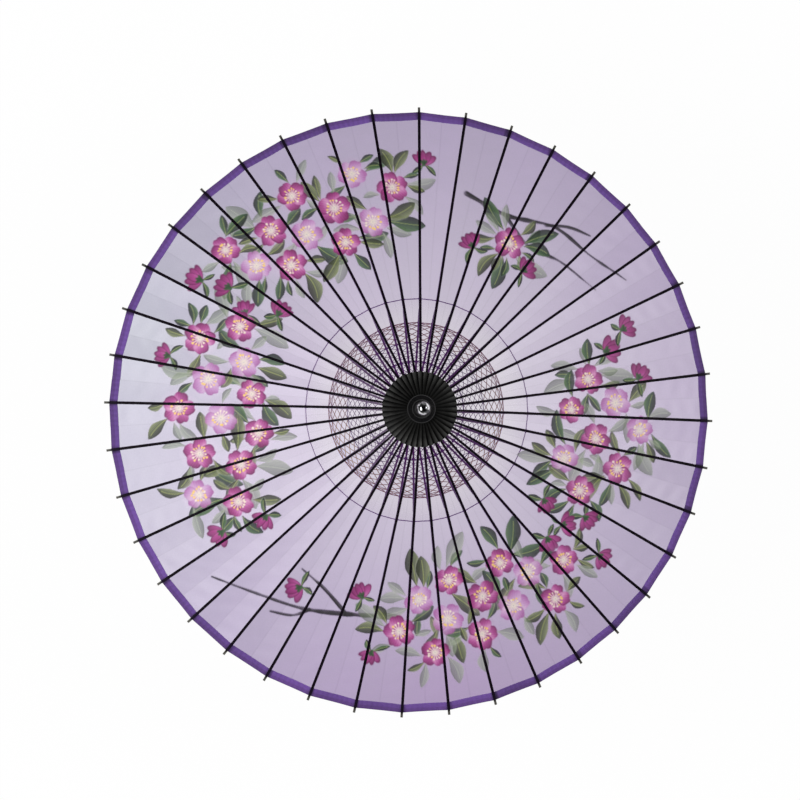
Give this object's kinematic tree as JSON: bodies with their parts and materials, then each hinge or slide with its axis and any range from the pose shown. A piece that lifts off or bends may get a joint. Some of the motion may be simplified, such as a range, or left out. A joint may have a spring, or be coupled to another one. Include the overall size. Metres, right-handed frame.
{
  "type": "oil paper umbrella",
  "caption": "Open oil paper umbrella: translucent flower-painted cover over slim black hinged ribs, with a laced stretcher frame, sliding runner and spring catch on a straight handle.",
  "frame": {"origin": "middle of the handle's lower end, on the shaft's axis", "axes": "+Z along the shaft towards the finial; +X through the first rib and the catch; +Y completes a right-handed frame"},
  "size_m": [0.8382, 0.8382, 0.5606],
  "materials": {
    "lacquered_bamboo": "black lacquer over bamboo, satin",
    "dark_wood": "turned wood, dark stain, satin",
    "oiled_paper": "translucent oiled paper or silk, thin glossy coat",
    "purple_tape": "woven tape, matt",
    "black_paper": "pleated black oiled paper, slight sheen",
    "dark_thread": "waxed thread",
    "lacing_thread": "coloured cotton thread",
    "chrome": "polished",
    "black_lacquer": "gloss black lacquer over turned wood",
    "steel": "drawn wire",
    "brass": "pressed strip"
  },
  "bodies": {
    "frame": {"shaft": "dark_wood", "grip": "black_lacquer", "grip_collar": "chrome", "end_cap": "black_lacquer", "top_hub": "dark_wood", "hub_thread": "dark_thread", "cap": "black_paper", "finial_base": "black_lacquer", "finial_tip": "chrome", "stop_pin": "steel", "catch_pin": "steel", "catch_spring": "steel", "canopy": "oiled_paper", "rim_tape": "purple_tape", "joint_thread": "dark_thread"},
    "runner": {"runner": "dark_wood", "runner_thread": "dark_thread", "stretchers": "lacquered_bamboo", "lacing": "lacing_thread"},
    "catch": {"catch": "brass"},
    "rib_01": {"rib_01": "lacquered_bamboo"},
    "rib_02": {"rib_02": "lacquered_bamboo"},
    "rib_03": {"rib_03": "lacquered_bamboo"},
    "rib_04": {"rib_04": "lacquered_bamboo"},
    "rib_05": {"rib_05": "lacquered_bamboo"},
    "rib_06": {"rib_06": "lacquered_bamboo"},
    "rib_07": {"rib_07": "lacquered_bamboo"},
    "rib_08": {"rib_08": "lacquered_bamboo"},
    "rib_09": {"rib_09": "lacquered_bamboo"},
    "rib_10": {"rib_10": "lacquered_bamboo"},
    "rib_11": {"rib_11": "lacquered_bamboo"},
    "rib_12": {"rib_12": "lacquered_bamboo"},
    "rib_13": {"rib_13": "lacquered_bamboo"},
    "rib_14": {"rib_14": "lacquered_bamboo"},
    "rib_15": {"rib_15": "lacquered_bamboo"},
    "rib_16": {"rib_16": "lacquered_bamboo"},
    "rib_17": {"rib_17": "lacquered_bamboo"},
    "rib_18": {"rib_18": "lacquered_bamboo"},
    "rib_19": {"rib_19": "lacquered_bamboo"},
    "rib_20": {"rib_20": "lacquered_bamboo"},
    "rib_21": {"rib_21": "lacquered_bamboo"},
    "rib_22": {"rib_22": "lacquered_bamboo"},
    "rib_23": {"rib_23": "lacquered_bamboo"},
    "rib_24": {"rib_24": "lacquered_bamboo"},
    "rib_25": {"rib_25": "lacquered_bamboo"},
    "rib_26": {"rib_26": "lacquered_bamboo"},
    "rib_27": {"rib_27": "lacquered_bamboo"},
    "rib_28": {"rib_28": "lacquered_bamboo"},
    "rib_29": {"rib_29": "lacquered_bamboo"},
    "rib_30": {"rib_30": "lacquered_bamboo"},
    "rib_31": {"rib_31": "lacquered_bamboo"},
    "rib_32": {"rib_32": "lacquered_bamboo"},
    "rib_33": {"rib_33": "lacquered_bamboo"},
    "rib_34": {"rib_34": "lacquered_bamboo"},
    "rib_35": {"rib_35": "lacquered_bamboo"},
    "rib_36": {"rib_36": "lacquered_bamboo"},
    "rib_37": {"rib_37": "lacquered_bamboo"},
    "rib_38": {"rib_38": "lacquered_bamboo"},
    "rib_39": {"rib_39": "lacquered_bamboo"},
    "rib_40": {"rib_40": "lacquered_bamboo"}
  },
  "joints": [
    {"name": "runner_slide", "type": "slide", "parent": "frame", "child": "runner", "axis": [0, 0, 1], "range_m": [-0.17466, 0], "deforming": ["canopy", "rim_tape", "joint_thread", "cap", "stretchers", "lacing", "catch"]},
    {"name": "catch_press", "type": "hinge", "parent": "frame", "child": "catch", "pos_m": [0.0015, 0, 0.3337], "axis": [0, -1, 0], "range_deg": [0, 6.5], "stiffness_Nm_per_rad": 0.05, "deforming": ["catch_spring"]},
    {"name": "rib_01_fold", "type": "hinge", "parent": "frame", "child": "rib_01", "pos_m": [0.02, 0, 0.505], "axis": [0, 1, 0], "range_deg": [0, 65.1]},
    {"name": "rib_02_fold", "type": "hinge", "parent": "frame", "child": "rib_02", "pos_m": [0.01975, 0.00313, 0.505], "axis": [-0.1564, 0.9877, 0], "range_deg": [0, 65.1]},
    {"name": "rib_03_fold", "type": "hinge", "parent": "frame", "child": "rib_03", "pos_m": [0.01902, 0.00618, 0.505], "axis": [-0.309, 0.9511, 0], "range_deg": [0, 65.1]},
    {"name": "rib_04_fold", "type": "hinge", "parent": "frame", "child": "rib_04", "pos_m": [0.01782, 0.00908, 0.505], "axis": [-0.454, 0.891, 0], "range_deg": [0, 65.1]},
    {"name": "rib_05_fold", "type": "hinge", "parent": "frame", "child": "rib_05", "pos_m": [0.01618, 0.01176, 0.505], "axis": [-0.5878, 0.809, 0], "range_deg": [0, 65.1]},
    {"name": "rib_06_fold", "type": "hinge", "parent": "frame", "child": "rib_06", "pos_m": [0.01414, 0.01414, 0.505], "axis": [-0.7071, 0.7071, 0], "range_deg": [0, 65.1]},
    {"name": "rib_07_fold", "type": "hinge", "parent": "frame", "child": "rib_07", "pos_m": [0.01176, 0.01618, 0.505], "axis": [-0.809, 0.5878, 0], "range_deg": [0, 65.1]},
    {"name": "rib_08_fold", "type": "hinge", "parent": "frame", "child": "rib_08", "pos_m": [0.00908, 0.01782, 0.505], "axis": [-0.891, 0.454, 0], "range_deg": [0, 65.1]},
    {"name": "rib_09_fold", "type": "hinge", "parent": "frame", "child": "rib_09", "pos_m": [0.00618, 0.01902, 0.505], "axis": [-0.9511, 0.309, 0], "range_deg": [0, 65.1]},
    {"name": "rib_10_fold", "type": "hinge", "parent": "frame", "child": "rib_10", "pos_m": [0.00313, 0.01975, 0.505], "axis": [-0.9877, 0.1564, 0], "range_deg": [0, 65.1]},
    {"name": "rib_11_fold", "type": "hinge", "parent": "frame", "child": "rib_11", "pos_m": [0, 0.02, 0.505], "axis": [-1, 0, 0], "range_deg": [0, 65.1]},
    {"name": "rib_12_fold", "type": "hinge", "parent": "frame", "child": "rib_12", "pos_m": [-0.00313, 0.01975, 0.505], "axis": [-0.9877, -0.1564, 0], "range_deg": [0, 65.1]},
    {"name": "rib_13_fold", "type": "hinge", "parent": "frame", "child": "rib_13", "pos_m": [-0.00618, 0.01902, 0.505], "axis": [-0.9511, -0.309, 0], "range_deg": [0, 65.1]},
    {"name": "rib_14_fold", "type": "hinge", "parent": "frame", "child": "rib_14", "pos_m": [-0.00908, 0.01782, 0.505], "axis": [-0.891, -0.454, 0], "range_deg": [0, 65.1]},
    {"name": "rib_15_fold", "type": "hinge", "parent": "frame", "child": "rib_15", "pos_m": [-0.01176, 0.01618, 0.505], "axis": [-0.809, -0.5878, 0], "range_deg": [0, 65.1]},
    {"name": "rib_16_fold", "type": "hinge", "parent": "frame", "child": "rib_16", "pos_m": [-0.01414, 0.01414, 0.505], "axis": [-0.7071, -0.7071, 0], "range_deg": [0, 65.1]},
    {"name": "rib_17_fold", "type": "hinge", "parent": "frame", "child": "rib_17", "pos_m": [-0.01618, 0.01176, 0.505], "axis": [-0.5878, -0.809, 0], "range_deg": [0, 65.1]},
    {"name": "rib_18_fold", "type": "hinge", "parent": "frame", "child": "rib_18", "pos_m": [-0.01782, 0.00908, 0.505], "axis": [-0.454, -0.891, 0], "range_deg": [0, 65.1]},
    {"name": "rib_19_fold", "type": "hinge", "parent": "frame", "child": "rib_19", "pos_m": [-0.01902, 0.00618, 0.505], "axis": [-0.309, -0.9511, 0], "range_deg": [0, 65.1]},
    {"name": "rib_20_fold", "type": "hinge", "parent": "frame", "child": "rib_20", "pos_m": [-0.01975, 0.00313, 0.505], "axis": [-0.1564, -0.9877, 0], "range_deg": [0, 65.1]},
    {"name": "rib_21_fold", "type": "hinge", "parent": "frame", "child": "rib_21", "pos_m": [-0.02, 0, 0.505], "axis": [0, -1, 0], "range_deg": [0, 65.1]},
    {"name": "rib_22_fold", "type": "hinge", "parent": "frame", "child": "rib_22", "pos_m": [-0.01975, -0.00313, 0.505], "axis": [0.1564, -0.9877, 0], "range_deg": [0, 65.1]},
    {"name": "rib_23_fold", "type": "hinge", "parent": "frame", "child": "rib_23", "pos_m": [-0.01902, -0.00618, 0.505], "axis": [0.309, -0.9511, 0], "range_deg": [0, 65.1]},
    {"name": "rib_24_fold", "type": "hinge", "parent": "frame", "child": "rib_24", "pos_m": [-0.01782, -0.00908, 0.505], "axis": [0.454, -0.891, 0], "range_deg": [0, 65.1]},
    {"name": "rib_25_fold", "type": "hinge", "parent": "frame", "child": "rib_25", "pos_m": [-0.01618, -0.01176, 0.505], "axis": [0.5878, -0.809, 0], "range_deg": [0, 65.1]},
    {"name": "rib_26_fold", "type": "hinge", "parent": "frame", "child": "rib_26", "pos_m": [-0.01414, -0.01414, 0.505], "axis": [0.7071, -0.7071, 0], "range_deg": [0, 65.1]},
    {"name": "rib_27_fold", "type": "hinge", "parent": "frame", "child": "rib_27", "pos_m": [-0.01176, -0.01618, 0.505], "axis": [0.809, -0.5878, 0], "range_deg": [0, 65.1]},
    {"name": "rib_28_fold", "type": "hinge", "parent": "frame", "child": "rib_28", "pos_m": [-0.00908, -0.01782, 0.505], "axis": [0.891, -0.454, 0], "range_deg": [0, 65.1]},
    {"name": "rib_29_fold", "type": "hinge", "parent": "frame", "child": "rib_29", "pos_m": [-0.00618, -0.01902, 0.505], "axis": [0.9511, -0.309, 0], "range_deg": [0, 65.1]},
    {"name": "rib_30_fold", "type": "hinge", "parent": "frame", "child": "rib_30", "pos_m": [-0.00313, -0.01975, 0.505], "axis": [0.9877, -0.1564, 0], "range_deg": [0, 65.1]},
    {"name": "rib_31_fold", "type": "hinge", "parent": "frame", "child": "rib_31", "pos_m": [0, -0.02, 0.505], "axis": [1, 0, 0], "range_deg": [0, 65.1]},
    {"name": "rib_32_fold", "type": "hinge", "parent": "frame", "child": "rib_32", "pos_m": [0.00313, -0.01975, 0.505], "axis": [0.9877, 0.1564, 0], "range_deg": [0, 65.1]},
    {"name": "rib_33_fold", "type": "hinge", "parent": "frame", "child": "rib_33", "pos_m": [0.00618, -0.01902, 0.505], "axis": [0.9511, 0.309, 0], "range_deg": [0, 65.1]},
    {"name": "rib_34_fold", "type": "hinge", "parent": "frame", "child": "rib_34", "pos_m": [0.00908, -0.01782, 0.505], "axis": [0.891, 0.454, 0], "range_deg": [0, 65.1]},
    {"name": "rib_35_fold", "type": "hinge", "parent": "frame", "child": "rib_35", "pos_m": [0.01176, -0.01618, 0.505], "axis": [0.809, 0.5878, 0], "range_deg": [0, 65.1]},
    {"name": "rib_36_fold", "type": "hinge", "parent": "frame", "child": "rib_36", "pos_m": [0.01414, -0.01414, 0.505], "axis": [0.7071, 0.7071, 0], "range_deg": [0, 65.1]},
    {"name": "rib_37_fold", "type": "hinge", "parent": "frame", "child": "rib_37", "pos_m": [0.01618, -0.01176, 0.505], "axis": [0.5878, 0.809, 0], "range_deg": [0, 65.1]},
    {"name": "rib_38_fold", "type": "hinge", "parent": "frame", "child": "rib_38", "pos_m": [0.01782, -0.00908, 0.505], "axis": [0.454, 0.891, 0], "range_deg": [0, 65.1]},
    {"name": "rib_39_fold", "type": "hinge", "parent": "frame", "child": "rib_39", "pos_m": [0.01902, -0.00618, 0.505], "axis": [0.309, 0.9511, 0], "range_deg": [0, 65.1]},
    {"name": "rib_40_fold", "type": "hinge", "parent": "frame", "child": "rib_40", "pos_m": [0.01975, -0.00313, 0.505], "axis": [0.1564, 0.9877, 0], "range_deg": [0, 65.1]}
  ],
  "couplings": [
    {"joint": "rib_01_fold", "follows": "runner_slide", "rad_per_m": -6.4953},
    {"joint": "rib_02_fold", "follows": "runner_slide", "rad_per_m": -6.4953},
    {"joint": "rib_03_fold", "follows": "runner_slide", "rad_per_m": -6.4953},
    {"joint": "rib_04_fold", "follows": "runner_slide", "rad_per_m": -6.4953},
    {"joint": "rib_05_fold", "follows": "runner_slide", "rad_per_m": -6.4953},
    {"joint": "rib_06_fold", "follows": "runner_slide", "rad_per_m": -6.4953},
    {"joint": "rib_07_fold", "follows": "runner_slide", "rad_per_m": -6.4953},
    {"joint": "rib_08_fold", "follows": "runner_slide", "rad_per_m": -6.4953},
    {"joint": "rib_09_fold", "follows": "runner_slide", "rad_per_m": -6.4953},
    {"joint": "rib_10_fold", "follows": "runner_slide", "rad_per_m": -6.4953},
    {"joint": "rib_11_fold", "follows": "runner_slide", "rad_per_m": -6.4953},
    {"joint": "rib_12_fold", "follows": "runner_slide", "rad_per_m": -6.4953},
    {"joint": "rib_13_fold", "follows": "runner_slide", "rad_per_m": -6.4953},
    {"joint": "rib_14_fold", "follows": "runner_slide", "rad_per_m": -6.4953},
    {"joint": "rib_15_fold", "follows": "runner_slide", "rad_per_m": -6.4953},
    {"joint": "rib_16_fold", "follows": "runner_slide", "rad_per_m": -6.4953},
    {"joint": "rib_17_fold", "follows": "runner_slide", "rad_per_m": -6.4953},
    {"joint": "rib_18_fold", "follows": "runner_slide", "rad_per_m": -6.4953},
    {"joint": "rib_19_fold", "follows": "runner_slide", "rad_per_m": -6.4953},
    {"joint": "rib_20_fold", "follows": "runner_slide", "rad_per_m": -6.4953},
    {"joint": "rib_21_fold", "follows": "runner_slide", "rad_per_m": -6.4953},
    {"joint": "rib_22_fold", "follows": "runner_slide", "rad_per_m": -6.4953},
    {"joint": "rib_23_fold", "follows": "runner_slide", "rad_per_m": -6.4953},
    {"joint": "rib_24_fold", "follows": "runner_slide", "rad_per_m": -6.4953},
    {"joint": "rib_25_fold", "follows": "runner_slide", "rad_per_m": -6.4953},
    {"joint": "rib_26_fold", "follows": "runner_slide", "rad_per_m": -6.4953},
    {"joint": "rib_27_fold", "follows": "runner_slide", "rad_per_m": -6.4953},
    {"joint": "rib_28_fold", "follows": "runner_slide", "rad_per_m": -6.4953},
    {"joint": "rib_29_fold", "follows": "runner_slide", "rad_per_m": -6.4953},
    {"joint": "rib_30_fold", "follows": "runner_slide", "rad_per_m": -6.4953},
    {"joint": "rib_31_fold", "follows": "runner_slide", "rad_per_m": -6.4953},
    {"joint": "rib_32_fold", "follows": "runner_slide", "rad_per_m": -6.4953},
    {"joint": "rib_33_fold", "follows": "runner_slide", "rad_per_m": -6.4953},
    {"joint": "rib_34_fold", "follows": "runner_slide", "rad_per_m": -6.4953},
    {"joint": "rib_35_fold", "follows": "runner_slide", "rad_per_m": -6.4953},
    {"joint": "rib_36_fold", "follows": "runner_slide", "rad_per_m": -6.4953},
    {"joint": "rib_37_fold", "follows": "runner_slide", "rad_per_m": -6.4953},
    {"joint": "rib_38_fold", "follows": "runner_slide", "rad_per_m": -6.4953},
    {"joint": "rib_39_fold", "follows": "runner_slide", "rad_per_m": -6.4953},
    {"joint": "rib_40_fold", "follows": "runner_slide", "rad_per_m": -6.4953}
  ]
}
